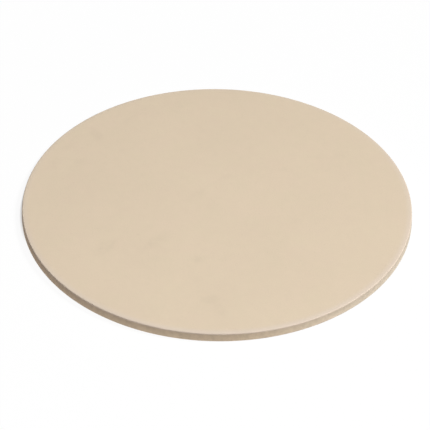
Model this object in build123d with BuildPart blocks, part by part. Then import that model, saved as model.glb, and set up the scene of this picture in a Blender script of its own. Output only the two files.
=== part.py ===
from build123d import *
from math import cos, radians, sin, tan
import os

# Round baking stone for pizza: one slab of porous cordierite, pressed and kiln-fired in one piece.
#
# The slab stands on its flat underside. Its round wall leans in by the draft that lets a pressed slab leave
# its mould. The baking face is flat as far as a wide, shallow shoulder that eases it down to the edge, and
# both corners of the wall are rounded.
#
# Frame: millimetres, +Z up, origin at the centre of the underside.

# Driving dimensions
stone_diameter = 381.0
stone_thickness = 9.5
wall_draft_angle = 3.5
shoulder_width = 5.0
shoulder_drop = 0.25
top_corner_radius = 0.8
bottom_corner_radius = 1.3

# Places that follow from them
stone_radius = stone_diameter / 2
draft = radians(wall_draft_angle)
wall_top = stone_thickness - shoulder_drop

# Rounding takes this much off the reach of the foot, so the unrounded foot stands out by it
foot_allowance = bottom_corner_radius * ((1 + sin(draft)) / cos(draft) - 1)
foot_radius = stone_radius + foot_allowance
head_radius = foot_radius - wall_top * tan(draft)
flat_face_radius = head_radius - shoulder_width

axis_bottom = (0, 0)
wall_foot = (foot_radius, 0)
wall_head = (head_radius, wall_top)
shoulder_start = (flat_face_radius, stone_thickness)
axis_top = (0, stone_thickness)

# Baking stone: half of its section, turned about the centre line
with BuildPart() as baking_stone:
    with BuildSketch(Plane.XZ) as half_section:
        with BuildLine():
            Polyline(axis_bottom, wall_foot, wall_head)
            TangentArc(shoulder_start, wall_head, tangent=(1, 0))
            Polyline(shoulder_start, axis_top, axis_bottom)
        make_face()
        fillet(half_section.vertices().sort_by_distance(wall_foot)[0], radius=bottom_corner_radius)
        fillet(half_section.vertices().sort_by_distance(wall_head)[0], radius=top_corner_radius)
    revolve(axis=Axis.Z)

baking_stone.part.label = "baking_stone"

os.makedirs("parts", exist_ok=True)
export_step(baking_stone.part, "parts/baking_stone.step")
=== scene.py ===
"""Round pizza stone: the fired slab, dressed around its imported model, and the studio floor it lies on.

Lengths are in metres, +Z is up, and the origin is the centre of the underside.
"""

import math

import bpy
from bpy.props import FloatProperty, FloatVectorProperty, IntProperty, PointerProperty
from mathutils import Matrix, Vector


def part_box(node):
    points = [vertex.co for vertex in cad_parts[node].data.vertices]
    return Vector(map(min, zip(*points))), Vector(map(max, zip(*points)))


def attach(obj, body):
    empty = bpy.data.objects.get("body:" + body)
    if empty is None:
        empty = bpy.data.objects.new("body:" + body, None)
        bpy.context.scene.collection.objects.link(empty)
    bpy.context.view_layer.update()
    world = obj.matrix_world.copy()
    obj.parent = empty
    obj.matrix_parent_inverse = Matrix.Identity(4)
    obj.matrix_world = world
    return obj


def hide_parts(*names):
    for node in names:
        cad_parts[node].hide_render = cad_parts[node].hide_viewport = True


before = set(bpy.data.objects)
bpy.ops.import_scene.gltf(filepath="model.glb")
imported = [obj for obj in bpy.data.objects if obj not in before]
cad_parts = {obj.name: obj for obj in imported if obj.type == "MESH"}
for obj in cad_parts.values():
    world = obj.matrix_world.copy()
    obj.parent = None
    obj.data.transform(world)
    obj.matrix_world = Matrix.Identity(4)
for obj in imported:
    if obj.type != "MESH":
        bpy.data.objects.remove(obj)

bl_info = {
    "name": "Pizza Stone",
    "version": (1, 0, 0),
    "blender": (4, 5, 0),
    "location": "View3D > Sidebar > Pizza Stone",
    "description": "Makes a fired pizza stone with its finish, and a studio floor to show it on",
    "category": "Object",
}

MM = 0.001
CAMERA_AIM = Vector((-1.9 * MM, -9.0 * MM, 0))
STONE_NODE = "baking_stone"
BODY = "root"

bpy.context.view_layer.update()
stone_low, stone_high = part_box(STONE_NODE)
cad_radius = min(stone_high.x, stone_high.y, -stone_low.x, -stone_low.y)
cad_thickness = stone_high.z - stone_low.z

# The studio's lamps: name, the setting that holds its level, azimuth from +X and elevation in degrees, and
# distance and width in metres
LAMPS = (
    ("top_lamp", "top_level", -75, 84, 1.0, 0.4),
    ("key_lamp", "key_level", 5, 50, 12.0, 2.4),
    ("front_lamp", "front_level", -64, 45, 2.4, 1.0),
)

# How far the floor reaches, and the distances from the stone's axis between which its shadow fades out. Close
# to the rim, in the lee of the lamps, the shadow is deepest: that depth fades out over this reach, and sets
# in about this azimuth, from one share of the radius towards it to the other
FLOOR_REACH = 6.0
SHADOW_FADE = (0.25, 0.7)
LEE_REACH = 2.5 * MM
LEE_AZIMUTH = 140
LEE_SHARES = (0.55, 0.8)

# Noise keeps nearly all of its values inside this span, so contrasts are measured over it. Then the middle of
# coloured noise, and the sockets of a colour mixer
NOISE_SPAN = (0.25, 0.75)
NOISE_MIDDLE = (0.5, 0.5, 0.5)
MIXER_COLOURS = slice(6, 8)
MIXER_RESULT = 2

# The slab's mesh: how far its rings crowd towards the rim, the points round each corner of the section, the
# straight run beside a corner in corner radii, and a number between the section's upper points and its lower
RING_CROWDING = 0.5
CORNER_STEPS = 16
CORNER_RUN = 2
LOWER_POINTS_FROM = 1.5

# The rim's wander, in radii from wave to wave; and the dips along its corners, with the share of the way out
# and of the way up or down from mid height at which they set in and are full
WANDER_SIZE = 0.8
DIP_SIZE = 7.0 * MM
DIPS_OUT = (0.97, 1.0)
DIPS_UP = (0.55, 0.9)

# The finish: sizes of the clouds, of the patches of tone and of hue, of the wall's patches, and of the cells
# that may hold a dark grain, with the noise from which one is faint and full
CLOUD_SIZE = 60.0 * MM
MOTTLE_SIZE = 10.0 * MM
HUE_SIZE = 18.0 * MM
WALL_PATCH_SIZE = 5.0 * MM
SPECK_SIZE = 1.2 * MM
SPECKS_FROM = (0.66, 0.72)

# The tug that makes the marks uneven, how far a mark fades beyond its own size, and how blotchy it is: a
# blotch's size, the noise over which a mark's strength changes, and that strength from the least to the most
TUG_SIZE = 11.0 * MM
TUG_REACH = 9.0 * MM
MARK_FADE = 1.7
BREAK_SIZE = 6.0 * MM
BREAK_SPAN = (0.3, 0.7)
BREAK_SHARES = (0.3, 1.5)

# The wall's tone at its foot, paler as painted light, and at its top, darker as painted shade; and how far
# below its top the wall sets in and is full, in radii of the upper corner
WALL_SHADE_TONES = (1.165, 0.85)
WALL_STARTS = (1.0, 1.8)

# The painted highlight, a pale band along the upper edge: how far in from the rim and down from the top
# it starts and is full, the lamps' azimuth where it is strongest, and how much is left on the far side
HIGHLIGHT_INWARDS = (8.0 * MM, 1.0 * MM)
HIGHLIGHT_DOWN = (1.9 * MM, 1.0 * MM)
HIGHLIGHT_AZIMUTH = -72
LEAST_HIGHLIGHT = 0.3

# Painted light, a greyer colour on the side of the wall that faces the key lamp: about this azimuth, and
# from one share of the radius towards it to the other
COOL_LIGHT_AZIMUTH = -15
COOL_LIGHT_SHARES = (0.4, 1.0)

# How much roughness changes with the grain, over which values of its noise, and how much the body shines
ROUGHNESS_SPREAD = 0.05
GRAIN_SPAN = (0.2, 0.8)
SPECULAR_LEVEL = 0.3

# The camera's sensor, in millimetres
SENSOR_WIDTH = 36.0

# Marks that handling and firing left on the baking face: where the middle of each lies (x, y), its half
# length and half width, its turn from +X in degrees, and how far it darkens the face
MARKS = (
    ((-5, -143), (8, 6), 0, 0.046),
    ((5, -158), (11, 5), -60, 0.022),
    ((-106, -73), (14, 8), 45, 0.042),
    ((-124, 106), (12, 5), -60, 0.034),
    ((-17, -87), (6, 5), 0, 0.032),
    ((-57, -61), (15, 6), 45, 0.032),
    ((-18, -115), (5, 5), 0, 0.020),
    ((-163, 57), (10, 6), 70, 0.024),
    ((-20, 10), (12, 6), 50, 0.022),
    ((6, 36), (12, 5), 50, 0.020),
    ((-137, 60), (7, 5), 30, 0.020),
    ((-152, 84), (8, 5), 45, 0.020),
    ((-92, 133), (9, 6), 60, 0.020),
    ((-76, 150), (8, 6), 80, 0.018),
    ((-40, 158), (7, 4), 20, 0.018),
    ((122, 77), (9, 6), 25, 0.022),
    ((97, 74), (8, 4), 0, 0.018),
    ((67, 52), (5, 4), 0, 0.018),
    ((76, -27), (6, 5), 0, 0.018),
    ((-15, 115), (4, 4), 0, 0.020),
)


def length(name, description, default, lowest=0.0):
    """A length that the user may set, in metres."""
    return FloatProperty(
        name=name, description=description, default=default, min=lowest,
        subtype="DISTANCE", unit="LENGTH", precision=5,
    )


def share(name, description, default):
    """A part of a whole, from 0 to 1."""
    return FloatProperty(
        name=name, description=description, default=default, min=0.0, max=1.0, subtype="FACTOR"
    )


def colour(name, description, default):
    """A colour in linear light."""
    return FloatVectorProperty(
        name=name, description=description, default=default, min=0.0, max=1.0, size=3, subtype="COLOR"
    )


class StoneShape(bpy.types.PropertyGroup):
    """Sizes of the slab"""

    radius: length("Radius", "Half the diameter of the stone", cad_radius)
    thickness: length("Thickness", "Height of the stone at its middle", cad_thickness)
    shoulder_width: length("Shoulder Width", "Width of the band that eases the baking face down", 5.0 * MM)
    shoulder_drop: length("Shoulder Drop", "How far the baking face has fallen at the edge", 0.25 * MM)
    top_corner: length("Top Corner", "Radius of the upper corner of the wall", 0.8 * MM)
    bottom_corner: length("Bottom Corner", "Radius of the lower corner of the wall", 1.3 * MM)
    draft_angle: FloatProperty(
        name="Draft Angle", description="How far the wall leans in from the upright",
        default=math.radians(3.5), min=0.0, max=math.radians(45), subtype="ANGLE", unit="ROTATION",
    )
    wall_crown: length("Wall Crown", "How far the wall draws in towards its top and foot", 0.02 * MM)
    out_of_round: length("Out of Round", "How far the rim wanders inwards from a true circle", 0.15 * MM)
    unevenness: length("Unevenness", "Height of the slow swells that pressing leaves", 0.05 * MM)
    swell_size: length("Swell Size", "Distance from swell to swell", 45.0 * MM, 1.0 * MM)
    edge_softening: length("Edge Softening", "Depth of the small uneven dips along both corners", 0.06 * MM)
    face_cells: IntProperty(name="Face Cells", description="Mesh cells across the face", default=160, min=8)
    rim_rows: IntProperty(name="Rim Rows", description="Mesh rows up the rim", default=34, min=8)
    seed: IntProperty(name="Seed", description="Another stone from the same press", default=7)


class StoneFinish(bpy.types.PropertyGroup):
    """Colours and grain of the fired body"""

    body: colour("Body", "Fired colour of the stone", (0.726, 0.599, 0.447))
    wall_tint: colour("Wall Tint", "What the wall's colour is multiplied by", (1.0, 1.0, 0.965))
    # The next two: the colour and share of the painted highlight, a pale band along the upper edge
    painted_light: colour("Dust", "Pale, rubbed colour along the edges", (0.727, 0.630, 0.558))
    highlight_share: share("Dust Share", "How much of that colour the edges take", 0.5)
    # Painted light: a greyer colour on the side of the wall that faces the key lamp
    painted_cool_light: colour("Wall Dust", "Greyer colour of the wall where dust lies on it", (0.684, 0.603, 0.495))
    cloud_contrast: share("Cloud Contrast", "Slow change of tone across the face", 0.014)
    mottle_contrast: share("Mottle Contrast", "Change of tone from patch to patch", 0.010)
    hue_contrast: share("Hue Contrast", "Drift of hue from patch to patch", 0.008)
    wall_contrast: share("Wall Contrast", "Change of tone from patch to patch on the wall", 0.11)
    grain_contrast: share("Grain Contrast", "Change of tone from grain to grain", 0.07)
    speck_contrast: share("Speck Contrast", "How far the scattered dark grains stand out", 0.05)
    grain_size: length("Grain Size", "Size of the grains of grog in the body", 0.45 * MM, 0.05 * MM)
    grain_height: length("Grain Height", "How far the grains stand up", 0.02 * MM)
    roughness: share("Roughness", "How matte the surface is", 0.88)


class StudioStage(bpy.types.PropertyGroup):
    """Floor, lamps and camera"""

    floor_bounce: share("Floor Bounce", "How bright the floor is to the stone, where 1 is white", 0.71)
    bounce_tint: colour("Bounce Tint", "Colour of the light that the floor gives off", (1.0, 0.91, 0.90))
    shadow_share: share("Shadow Share", "How much of the stone's shadow the floor shows", 0.07)
    lee_share: share("Lee Share", "How much more of it shows close to the rim, away from the lamps", 0.8)
    top_level: share("Top Level", "Light on the baking face from the lamp overhead", 0.150)
    key_level: share("Key Level", "Light on the baking face from the raised lamp on the right", 0.600)
    front_level: share("Front Level", "Light on the baking face from the raised lamp in front", 0.250)
    camera_elevation: FloatProperty(
        name="Camera Elevation", description="How far above the floor the camera looks from",
        default=math.radians(39.19), subtype="ANGLE", unit="ROTATION",
    )
    camera_distance: length("Camera Distance", "From the camera to the point it looks at", 1.890)
    camera_roll: FloatProperty(
        name="Camera Roll", description="Turn of the camera about its own axis",
        default=math.radians(0.88), subtype="ANGLE", unit="ROTATION",
    )
    focal_length: FloatProperty(
        name="Focal Length", description="Lens of the camera, in millimetres",
        default=162.12, min=1.0, unit="CAMERA",
    )


class Graph:
    """Adds nodes to a node tree and feeds each one with values or with other nodes' outputs."""

    def __init__(self, tree):
        self.tree = tree

    def node(self, kind, inputs=(), **settings):
        made = self.tree.nodes.new(kind)
        for name, value in settings.items():
            setattr(made, name, value)
        pairs = inputs.items() if isinstance(inputs, dict) else enumerate(inputs)
        for key, value in pairs:
            self.feed(made.inputs[key], value)
        return made

    def feed(self, socket, value):
        if isinstance(value, bpy.types.NodeSocket):
            self.tree.links.new(value, socket)
        elif value is not None:
            socket.default_value = value

    def math(self, operation, *values, clamp=False):
        return self.node("ShaderNodeMath", values, operation=operation, use_clamp=clamp).outputs[0]

    def vector(self, operation, *values):
        return self.node("ShaderNodeVectorMath", values, operation=operation).outputs[0]

    def scaled(self, vector, factor):
        return self.node("ShaderNodeVectorMath", {0: vector, "Scale": factor}, operation="SCALE").outputs[0]

    def split(self, vector):
        return self.node("ShaderNodeSeparateXYZ", [vector]).outputs

    def from_axis(self, vector):
        """How far a place lies from the Z axis."""
        flat = self.vector("MULTIPLY", vector, (1, 1, 0))
        return self.node("ShaderNodeVectorMath", [flat], operation="LENGTH").outputs["Value"]

    def along(self, vector, direction):
        """How far a place lies along a direction."""
        made = self.node("ShaderNodeVectorMath", [vector, direction], operation="DOT_PRODUCT")
        return made.outputs["Value"]

    def mixed(self, factor, first, second, blend="MIX"):
        """Two colours, each a socket or three numbers, mixed by factor."""
        made = self.node("ShaderNodeMix", {"Factor": factor}, data_type="RGBA", blend_type=blend)
        for socket, value in zip(made.inputs[MIXER_COLOURS], (first, second)):
            self.feed(socket, value if isinstance(value, bpy.types.NodeSocket) else (*value, 1))
        return made.outputs[MIXER_RESULT]

    def joined(self, x, y, z):
        return self.node("ShaderNodeCombineXYZ", [x, y, z]).outputs[0]

    def remapped(self, value, from_low, from_high, to_low, to_high, interpolation="LINEAR"):
        """value carried from one span to another and held inside it."""
        ends = {"From Min": from_low, "From Max": from_high, "To Min": to_low, "To Max": to_high}
        return self.node(
            "ShaderNodeMapRange", {"Value": value, **ends}, interpolation_type=interpolation, clamp=True
        ).outputs["Result"]

    def swing(self, noise, contrast):
        """Noise made into a factor that swings by contrast about 1."""
        return self.remapped(noise, *NOISE_SPAN, 1 - contrast, 1 + contrast)

    def noise(self, vector, size, detail=2.0, seed=0.0):
        """Smooth noise from 0 to 1 whose waves are about size long."""
        return self.node(
            "ShaderNodeTexNoise",
            {"Vector": vector, "W": seed, "Scale": self.math("DIVIDE", 1.0, size), "Detail": detail},
            noise_dimensions="4D",
        ).outputs[0]


def arranged(tree, column=190.0, row=170.0):
    """Sets the nodes out in columns, from the sources on the left to the output on the right."""
    depth = {node: 0 for node in tree.nodes}
    for _ in tree.nodes:
        for link in tree.links:
            depth[link.from_node] = max(depth[link.from_node], depth[link.to_node] + 1)
    filled = {}
    for node in tree.nodes:
        place = filled.get(depth[node], 0)
        node.location = (-column * depth[node], -row * place)
        filled[depth[node]] = place + 1
    return tree


def pressed_slab_tree():
    """Geometry Nodes: a box of square cells, rounded into a disc whose sides follow the rim's section."""
    tree = bpy.data.node_groups.new("pressed_slab", "GeometryNodeTree")
    tree.is_modifier = True
    tree.interface.new_socket("Geometry", in_out="OUTPUT", socket_type="NodeSocketGeometry")
    lengths = (
        "Radius", "Thickness", "Top Corner", "Bottom Corner", "Shoulder Width", "Shoulder Drop",
        "Wall Crown", "Out of Round", "Unevenness", "Swell Size", "Edge Softening",
    )
    for name in lengths:
        tree.interface.new_socket(name, in_out="INPUT", socket_type="NodeSocketFloat").subtype = "DISTANCE"
    tree.interface.new_socket("Draft Angle", in_out="INPUT", socket_type="NodeSocketFloat").subtype = "ANGLE"
    for name in ("Face Cells", "Rim Rows", "Seed"):
        tree.interface.new_socket(name, in_out="INPUT", socket_type="NodeSocketInt")
    tree.interface.new_socket("Material", in_out="INPUT", socket_type="NodeSocketMaterial")

    graph = Graph(tree)
    given = graph.node("NodeGroupInput").outputs
    radius, thickness = given["Radius"], given["Thickness"]

    # A closed box from -1 to 1 each way: cells on its two faces, rows on its sides
    face_points = graph.math("ADD", given["Face Cells"], 1)
    rim_points = graph.math("ADD", given["Rim Rows"], 1)
    box_inputs = {
        "Size": (2, 2, 2), "Vertices X": face_points, "Vertices Y": face_points, "Vertices Z": rim_points,
    }
    box = graph.node("GeometryNodeMeshCube", box_inputs).outputs["Mesh"]
    place = graph.node("GeometryNodeInputPosition").outputs[0]
    height_in_box = graph.split(place)[2]

    # Rings of the square become rings of the disc, with each side of the square an even quarter turn
    flat_place = graph.vector("MULTIPLY", place, (1, 1, 0))
    reach = graph.split(graph.vector("ABSOLUTE", flat_place))
    ring = graph.math("MAXIMUM", reach[0], reach[1])
    eighth_turns = graph.scaled(flat_place, graph.math("DIVIDE", math.pi / 4, ring))
    outwards = graph.vector("NORMALIZE", graph.vector("TANGENT", eighth_turns))

    # Rings lie closer together towards the rim, where the shoulder bends
    spread = graph.math("SUBTRACT", 1 + RING_CROWDING, graph.math("MULTIPLY", ring, RING_CROWDING))
    ring_share = graph.math("MULTIPLY", ring, spread)

    # The rim's section, from the baking face over the leaning wall to the underside. Rounding the foot takes
    # a little off its reach, so the unrounded foot stands out by that much
    lean = graph.math("TANGENT", given["Draft Angle"])
    sine = graph.math("SINE", given["Draft Angle"])
    cosine = graph.math("COSINE", given["Draft Angle"])
    steepness = graph.math("DIVIDE", graph.math("ADD", 1, sine), cosine)
    foot = graph.math("MULTIPLY_ADD", given["Bottom Corner"], graph.math("SUBTRACT", steepness, 1), radius)
    head = graph.math("SUBTRACT", foot, graph.math("MULTIPLY", lean, thickness))
    above_head = graph.math("MULTIPLY_ADD", given["Top Corner"], -CORNER_RUN, head)
    below_foot = graph.math("MULTIPLY_ADD", given["Bottom Corner"], -CORNER_RUN, foot)
    corners = {
        "Point 1": graph.joined(above_head, 0, thickness),
        "Point 2": graph.joined(head, 0, thickness),
        "Point 3": graph.joined(foot, 0, 0),
        "Point 4": graph.joined(below_foot, 0, 0),
    }
    outline = graph.node("GeometryNodeCurvePrimitiveQuadrilateral", corners, mode="POINTS").outputs[0]
    opened = graph.node("GeometryNodeSetSplineCyclic", {"Geometry": outline, "Cyclic": False}).outputs[0]
    point_number = graph.node("GeometryNodeInputIndex").outputs[0]
    lower_half = graph.math("GREATER_THAN", point_number, LOWER_POINTS_FROM)
    corner_difference = graph.math("SUBTRACT", given["Bottom Corner"], given["Top Corner"])
    corner_radius = graph.math("MULTIPLY_ADD", lower_half, corner_difference, given["Top Corner"])
    fillet_inputs = {"Curve": opened, "Count": CORNER_STEPS, "Radius": corner_radius}
    section = graph.node("GeometryNodeFilletCurve", fillet_inputs, mode="POLY").outputs[0]

    # A row's height in the box, from 1 down to -1, becomes its share of the way along the section
    down_section = graph.math("MULTIPLY_ADD", height_in_box, -0.5, 0.5)
    sample_inputs = {"Curves": section, "Factor": down_section}
    sampled = graph.node("GeometryNodeSampleCurve", sample_inputs, mode="FACTOR", use_all_curves=True)
    section_out, _, section_up = graph.split(sampled.outputs["Position"])

    # The wall bulges a little at mid height, and the whole rim wanders a little
    from_middle = graph.math("MULTIPLY_ADD", graph.math("DIVIDE", section_up, thickness), 2, -1)
    drawn_in = graph.math("MULTIPLY", graph.math("MULTIPLY", from_middle, from_middle), given["Wall Crown"])
    wander = graph.noise(outwards, WANDER_SIZE, detail=1.0, seed=given["Seed"])
    wandered = graph.math("MULTIPLY", wander, given["Out of Round"])
    rim_radius = graph.math("SUBTRACT", graph.math("SUBTRACT", section_out, drawn_in), wandered)
    out = graph.math("MULTIPLY", rim_radius, ring_share)

    # The shoulder falls away with the square of the distance from where it starts
    shoulder_start = graph.math("SUBTRACT", head, given["Shoulder Width"])
    along_shoulder = graph.remapped(out, shoulder_start, head, 0, 1)
    fall_share = graph.math("MULTIPLY", along_shoulder, along_shoulder)
    fall = graph.math("MULTIPLY", fall_share, given["Shoulder Drop"])
    fall_here = graph.math("MULTIPLY", fall, graph.math("DIVIDE", section_up, thickness))
    up = graph.math("SUBTRACT", section_up, fall_here)

    slab_place = graph.vector("ADD", graph.scaled(outwards, out), graph.joined(0, 0, up))
    slab = graph.node("GeometryNodeSetPosition", {"Geometry": box, "Position": slab_place}).outputs[0]

    # Slow swells all over, and small dips along the two corners, all pressed inwards
    new_place = graph.node("GeometryNodeInputPosition").outputs[0]
    swell_noise = graph.noise(new_place, given["Swell Size"], seed=given["Seed"])
    swell = graph.math("MULTIPLY", swell_noise, given["Unevenness"])
    dip_noise = graph.noise(new_place, DIP_SIZE, seed=given["Seed"])
    dip = graph.math("MULTIPLY", dip_noise, given["Edge Softening"])
    at_rim = graph.remapped(ring, *DIPS_OUT, 0, 1)
    at_corner = graph.remapped(graph.math("ABSOLUTE", from_middle), *DIPS_UP, 0, 1, "SMOOTHSTEP")
    edge_dip = graph.math("MULTIPLY", dip, graph.math("MULTIPLY", at_rim, at_corner))
    inwards = graph.math("MULTIPLY", graph.math("ADD", swell, edge_dip), -1)
    normal = graph.node("GeometryNodeInputNormal").outputs[0]
    offset = graph.scaled(normal, inwards)
    pressed = graph.node("GeometryNodeSetPosition", {"Geometry": slab, "Offset": offset}).outputs[0]

    smooth = graph.node("GeometryNodeSetShadeSmooth", {"Geometry": pressed}).outputs[0]
    whole = graph.node("GeometryNodeRealizeInstances", {"Geometry": smooth}).outputs[0]
    dressed = graph.node("GeometryNodeSetMaterial", {"Geometry": whole, "Material": given["Material"]})
    graph.node("NodeGroupOutput", {"Geometry": dressed.outputs[0]})
    return arranged(tree)


def set_input(modifier, name, value):
    """Sets a modifier's input by the socket's identifier."""
    for item in modifier.node_group.interface.items_tree:
        if item.item_type == "SOCKET" and item.in_out == "INPUT" and item.name == name:
            modifier[item.identifier] = value
            return
    raise RuntimeError(f"the slab's tree has no input named {name}")


def pressed_slab(shape, material):
    """The slab as a plain mesh object, in its place and with its finish."""
    stone = bpy.data.objects.new("stone_slab", bpy.data.meshes.new("stone_slab"))
    bpy.context.scene.collection.objects.link(stone)
    modifier = stone.modifiers.new("pressed_slab", "NODES")
    modifier.node_group = pressed_slab_tree()
    set_input(modifier, "Radius", shape.radius)
    set_input(modifier, "Thickness", shape.thickness)
    set_input(modifier, "Top Corner", shape.top_corner)
    set_input(modifier, "Bottom Corner", shape.bottom_corner)
    set_input(modifier, "Draft Angle", shape.draft_angle)
    set_input(modifier, "Shoulder Width", shape.shoulder_width)
    set_input(modifier, "Shoulder Drop", shape.shoulder_drop)
    set_input(modifier, "Wall Crown", shape.wall_crown)
    set_input(modifier, "Out of Round", shape.out_of_round)
    set_input(modifier, "Unevenness", shape.unevenness)
    set_input(modifier, "Swell Size", shape.swell_size)
    set_input(modifier, "Edge Softening", shape.edge_softening)
    set_input(modifier, "Face Cells", shape.face_cells)
    set_input(modifier, "Rim Rows", shape.rim_rows)
    set_input(modifier, "Seed", shape.seed)
    set_input(modifier, "Material", material)

    depsgraph = bpy.context.evaluated_depsgraph_get()
    stone.data = bpy.data.meshes.new_from_object(stone.evaluated_get(depsgraph), depsgraph=depsgraph)
    stone.data.name = "stone_slab"
    stone.modifiers.remove(modifier)
    return stone


def mark_shade(graph, place, middle, half_sizes, turn, depth):
    """One soft mark on the baking face: 1 away from it, and 1 less depth in its middle."""
    mapping = graph.node(
        "ShaderNodeMapping",
        {
            "Vector": place,
            "Location": (middle[0] * MM, middle[1] * MM, 0),
            "Rotation": (0, 0, math.radians(turn)),
            "Scale": (half_sizes[0] * MM, half_sizes[1] * MM, 1),
        },
        vector_type="TEXTURE",
    ).outputs[0]
    return graph.remapped(graph.from_axis(mapping), 0, MARK_FADE, 1 - depth, 1, "SMOOTHERSTEP")


def fired_stone_material(finish, shape):
    """Fired cordierite: a matte, sandy body with faint clouds, grains, handling marks, painted light and
    shade.
    """
    material = bpy.data.materials.new("fired_stone")
    material.use_nodes = True
    tree = material.node_tree
    tree.nodes.clear()
    graph = Graph(tree)
    place = graph.node("ShaderNodeTexCoord").outputs["Object"]
    up = graph.split(place)[2]
    out = graph.from_axis(place)

    # Tone: slow clouds, patches, grain and scattered dark grains
    grain = graph.noise(place, finish.grain_size, detail=3.0, seed=5.0)
    clouds = graph.noise(place, CLOUD_SIZE, detail=3.0, seed=2.0)
    mottle = graph.noise(place, MOTTLE_SIZE, seed=3.0)
    tone = graph.swing(clouds, finish.cloud_contrast)
    tone = graph.math("MULTIPLY", tone, graph.swing(mottle, finish.mottle_contrast))
    tone = graph.math("MULTIPLY", tone, graph.swing(grain, finish.grain_contrast))
    speck_noise = graph.noise(place, SPECK_SIZE, detail=1.0, seed=7.0)
    speck = graph.remapped(speck_noise, *SPECKS_FROM, 1, 1 - finish.speck_contrast)
    tone = graph.math("MULTIPLY", tone, speck)

    # Marks, with their edges pulled about by noise
    tug_inputs = {"Vector": place, "Scale": 1 / TUG_SIZE, "Detail": 3.0}
    tug = graph.node("ShaderNodeTexNoise", tug_inputs, noise_dimensions="3D").outputs["Color"]
    tug_step = graph.scaled(graph.vector("SUBTRACT", tug, NOISE_MIDDLE), TUG_REACH)
    tugged = graph.vector("ADD", place, tug_step)
    unmarked = 1.0
    for middle, half_sizes, turn, depth in MARKS:
        shade = mark_shade(graph, tugged, middle, half_sizes, turn, depth)
        unmarked = graph.math("MULTIPLY", unmarked, shade)
    blotches = graph.remapped(graph.noise(place, BREAK_SIZE, seed=9.0), *BREAK_SPAN, *BREAK_SHARES)
    marked = graph.math("MULTIPLY", graph.math("SUBTRACT", 1, unmarked), blotches)
    tone = graph.math("MULTIPLY", tone, graph.math("SUBTRACT", 1, marked))

    # The wall, from its upper corner down, is warmer and patchier than the faces. Painted shade darkens
    # its top, and painted light makes it paler towards its foot
    corner_top = shape.thickness - shape.shoulder_drop
    wall_start, wall_full = (corner_top - shape.top_corner * down for down in WALL_STARTS)
    below_corner = graph.remapped(up, wall_full, wall_start, 1, 0)
    wall_reach = shape.radius - shape.thickness * math.tan(shape.draft_angle) - shape.top_corner
    at_wall = graph.remapped(out, wall_reach - shape.top_corner, wall_reach, 0, 1)
    on_wall = graph.math("MULTIPLY", below_corner, at_wall)
    wall_patches = graph.noise(place, WALL_PATCH_SIZE, detail=3.0, seed=6.0)
    wall_shade_and_patches = graph.remapped(up, 0, shape.thickness, *WALL_SHADE_TONES)
    wall_shade_and_patches = graph.math("MULTIPLY", wall_shade_and_patches, graph.swing(wall_patches, finish.wall_contrast))
    tone_here = graph.node("ShaderNodeMix", {"Factor": on_wall, "A": 1.0, "B": wall_shade_and_patches}, data_type="FLOAT")
    tone = graph.math("MULTIPLY", tone, tone_here.outputs[0])
    tint = graph.mixed(on_wall, (1, 1, 1), finish.wall_tint)

    # Painted highlight: a pale band along the upper edge, strongest towards the lamps. Painted light: a
    # greyer colour on the side of the wall that faces the key lamp
    edge_out, edge_full = (shape.radius - inwards for inwards in HIGHLIGHT_INWARDS)
    edge_down, edge_up = (shape.thickness - down for down in HIGHLIGHT_DOWN)
    edge = graph.remapped(out, edge_out, edge_full, 0, 1, "SMOOTHSTEP")
    top_side = graph.remapped(up, edge_down, edge_up, 0, 1)
    towards_lamps = graph.along(place, outward(HIGHLIGHT_AZIMUTH, 0))
    lit_side = graph.remapped(towards_lamps, -shape.radius, shape.radius, LEAST_HIGHLIGHT, 1)
    highlighted = graph.math("MULTIPLY", graph.math("MULTIPLY", edge, top_side), finish.highlight_share)
    highlighted = graph.math("MULTIPLY", highlighted, lit_side)
    towards_cool_light = graph.along(place, outward(COOL_LIGHT_AZIMUTH, 0))
    cool_lit_side = graph.remapped(towards_cool_light, *(shape.radius * part for part in COOL_LIGHT_SHARES), 0, 1)
    wall_body = graph.mixed(graph.math("MULTIPLY", cool_lit_side, on_wall), finish.body, finish.painted_cool_light)
    with_painted_light = graph.mixed(highlighted, wall_body, finish.painted_light)

    # The hue drifts to either side of that colour
    patches = graph.noise(place, HUE_SIZE, seed=4.0)
    warmer, greener = 1 + finish.hue_contrast, 1 - finish.hue_contrast
    hue = graph.mixed(patches, (warmer, greener, warmer), (greener, warmer, greener))
    coloured = graph.mixed(1.0, graph.mixed(1.0, with_painted_light, tint, "MULTIPLY"), hue, "MULTIPLY")
    toned = graph.scaled(coloured, tone)

    rough_low, rough_high = finish.roughness - ROUGHNESS_SPREAD, finish.roughness + ROUGHNESS_SPREAD
    bump_inputs = {"Strength": 1.0, "Distance": finish.grain_height, "Height": grain}
    shader = graph.node("ShaderNodeBsdfPrincipled", {
        "Base Color": toned,
        "Roughness": graph.remapped(grain, *GRAIN_SPAN, rough_low, rough_high),
        "Specular IOR Level": SPECULAR_LEVEL,
        "Normal": graph.node("ShaderNodeBump", bump_inputs).outputs[0],
    })
    graph.node("ShaderNodeOutputMaterial", {"Surface": shader.outputs[0]})
    arranged(tree)
    return material


def seen_directly(graph):
    """1 for a ray from the camera or by way of a mirror or glass, and 0 for light that falls on things."""
    path = graph.node("ShaderNodeLightPath").outputs
    seen = graph.math("ADD", path["Is Camera Ray"], path["Is Glossy Ray"])
    return graph.math("ADD", seen, path["Is Transmission Ray"], clamp=True)


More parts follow.
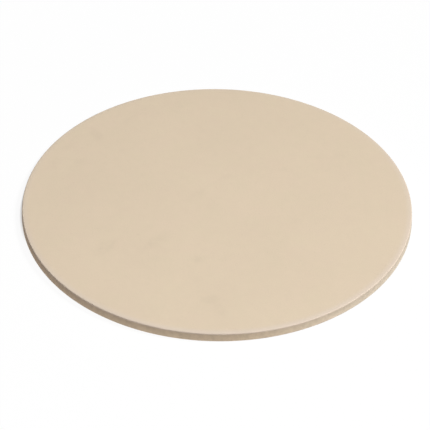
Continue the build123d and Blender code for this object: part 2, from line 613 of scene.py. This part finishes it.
def floor_material(stage):
    """White where it is looked at, but for a share of its shadow, and a pale, warm grey to the light."""
    material = bpy.data.materials.new("studio_floor")
    material.use_nodes = True
    tree = material.node_tree
    tree.nodes.clear()
    graph = Graph(tree)
    white = (1, 1, 1, 1)
    bounce = {"Color": (*stage.bounce_tint, 1), "Strength": stage.floor_bounce}
    to_light = graph.node("ShaderNodeEmission", bounce).outputs[0]
    shadowed = graph.node("ShaderNodeBsdfDiffuse", {"Color": white}).outputs[0]
    plain = graph.node("ShaderNodeEmission", {"Color": white, "Strength": 1.0}).outputs[0]
    place = graph.node("ShaderNodeTexCoord").outputs["Object"]
    out = graph.from_axis(place)
    shadow = graph.remapped(out, *SHADOW_FADE, stage.shadow_share, 0)
    at_foot = graph.remapped(out, cad_radius, cad_radius + LEE_REACH, stage.lee_share, 0)
    leewards = graph.along(place, outward(LEE_AZIMUTH, 0))
    lee = graph.remapped(leewards, *(cad_radius * part for part in LEE_SHARES), 0, 1)
    shadow = graph.math("MULTIPLY_ADD", at_foot, lee, shadow, clamp=True)
    to_eye = graph.node("ShaderNodeMixShader", [shadow, plain, shadowed]).outputs[0]
    both = graph.node("ShaderNodeMixShader", [seen_directly(graph), to_light, to_eye]).outputs[0]
    graph.node("ShaderNodeOutputMaterial", {"Surface": both})
    arranged(tree)
    return material


def lay_floor(stage):
    """A wide floor at the height that the stone stands on."""
    mesh = bpy.data.meshes.new("studio_floor")
    corners = [(x * FLOOR_REACH, y * FLOOR_REACH, 0) for x, y in ((-1, -1), (1, -1), (1, 1), (-1, 1))]
    mesh.from_pydata(corners, [], [(0, 1, 2, 3)])
    mesh.materials.append(floor_material(stage))
    floor = bpy.data.objects.new("studio_floor", mesh)
    bpy.context.scene.collection.objects.link(floor)


def surround_with_white():
    """A white surround to the eye that gives the stone no light."""
    world = bpy.data.worlds.new("studio_surround")
    world.use_nodes = True
    tree = world.node_tree
    tree.nodes.clear()
    graph = Graph(tree)
    sky_inputs = {"Color": (1, 1, 1, 1), "Strength": seen_directly(graph)}
    sky = graph.node("ShaderNodeBackground", sky_inputs).outputs[0]
    graph.node("ShaderNodeOutputWorld", {"Surface": sky})
    arranged(tree)
    bpy.context.scene.world = world


def outward(azimuth, elevation):
    """The direction at an azimuth from +X and an elevation above the floor, in degrees."""
    a, e = math.radians(azimuth), math.radians(elevation)
    return Vector((math.cos(e) * math.cos(a), math.cos(e) * math.sin(a), math.sin(e)))


def hang_lamp(name, azimuth, elevation, distance, width, level):
    """A square soft lamp aimed at the stone. At level 1 it alone lights a colour on top as it is written."""
    data = bpy.data.lights.new(name, "AREA")
    data.shape = "SQUARE"
    data.size = width
    data.energy = level * (math.pi * distance) ** 2 / math.sin(math.radians(elevation))
    lamp = bpy.data.objects.new(name, data)
    lamp.location = outward(azimuth, elevation) * distance
    lamp.rotation_euler = lamp.location.to_track_quat("Z", "Y").to_euler()
    lamp.visible_camera = False
    bpy.context.scene.collection.objects.link(lamp)


def set_camera(stage):
    """The camera of the photograph: a long lens that looks down on the stone from the front."""
    data = bpy.data.cameras.new("camera")
    data.sensor_width = SENSOR_WIDTH
    data.lens = stage.focal_length
    elevation = stage.camera_elevation
    ahead = Vector((0, math.cos(elevation), -math.sin(elevation)))
    level = Vector((1, 0, 0))
    upright = level.cross(ahead)
    right = level * math.cos(stage.camera_roll) + upright * math.sin(stage.camera_roll)
    turn = Matrix((right, right.cross(ahead), -ahead)).transposed()
    camera = bpy.data.objects.new("camera", data)
    camera.matrix_world = Matrix.Translation(CAMERA_AIM - ahead * stage.camera_distance) @ turn.to_4x4()
    bpy.context.scene.collection.objects.link(camera)
    bpy.context.scene.camera = camera


class PIZZASTONE_OT_press_slab(bpy.types.Operator):
    """Make the slab from its sizes and give it its fired finish"""

    bl_idname = "pizza_stone.press_slab"
    bl_label = "Press Slab"
    bl_options = {"REGISTER", "UNDO"}

    def execute(self, context):
        shape = context.scene.pizza_stone_shape
        material = fired_stone_material(context.scene.pizza_stone_finish, shape)
        stone = pressed_slab(shape, material)
        if not stone.data.polygons:
            raise RuntimeError("the slab came out empty")
        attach(stone, BODY)
        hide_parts(STONE_NODE)
        return {"FINISHED"}


class PIZZASTONE_OT_set_stage(bpy.types.Operator):
    """Lay the floor, light the studio and place the camera"""

    bl_idname = "pizza_stone.set_stage"
    bl_label = "Set Stage"
    bl_options = {"REGISTER", "UNDO"}

    def execute(self, context):
        stage = context.scene.pizza_stone_stage
        lay_floor(stage)
        surround_with_white()
        for name, setting, azimuth, elevation, distance, width in LAMPS:
            hang_lamp(name, azimuth, elevation, distance, width, getattr(stage, setting))
        set_camera(stage)
        context.scene.view_settings.view_transform = "Standard"
        return {"FINISHED"}


class VIEW3D_PT_pizza_stone(bpy.types.Panel):
    """Sizes, finish and stage of the pizza stone"""

    bl_label = "Pizza Stone"
    bl_space_type = "VIEW_3D"
    bl_region_type = "UI"
    bl_category = "Pizza Stone"

    def draw(self, context):
        scene = context.scene
        self.listed(scene.pizza_stone_shape)
        self.listed(scene.pizza_stone_finish)
        self.layout.operator(PIZZASTONE_OT_press_slab.bl_idname)
        self.listed(scene.pizza_stone_stage)
        self.layout.operator(PIZZASTONE_OT_set_stage.bl_idname)

    def listed(self, group):
        box = self.layout.box()
        for name in group.__annotations__:
            box.prop(group, name)


CLASSES = (
    StoneShape,
    StoneFinish,
    StudioStage,
    PIZZASTONE_OT_press_slab,
    PIZZASTONE_OT_set_stage,
    VIEW3D_PT_pizza_stone,
)


def register():
    for item in CLASSES:
        bpy.utils.register_class(item)
    bpy.types.Scene.pizza_stone_shape = PointerProperty(type=StoneShape)
    bpy.types.Scene.pizza_stone_finish = PointerProperty(type=StoneFinish)
    bpy.types.Scene.pizza_stone_stage = PointerProperty(type=StudioStage)


def unregister():
    del bpy.types.Scene.pizza_stone_stage
    del bpy.types.Scene.pizza_stone_finish
    del bpy.types.Scene.pizza_stone_shape
    for item in reversed(CLASSES):
        bpy.utils.unregister_class(item)


def main():
    """Makes the stone and its stage."""
    register()
    bpy.ops.pizza_stone.press_slab()
    bpy.ops.pizza_stone.set_stage()


if __name__ == "__main__":
    main()
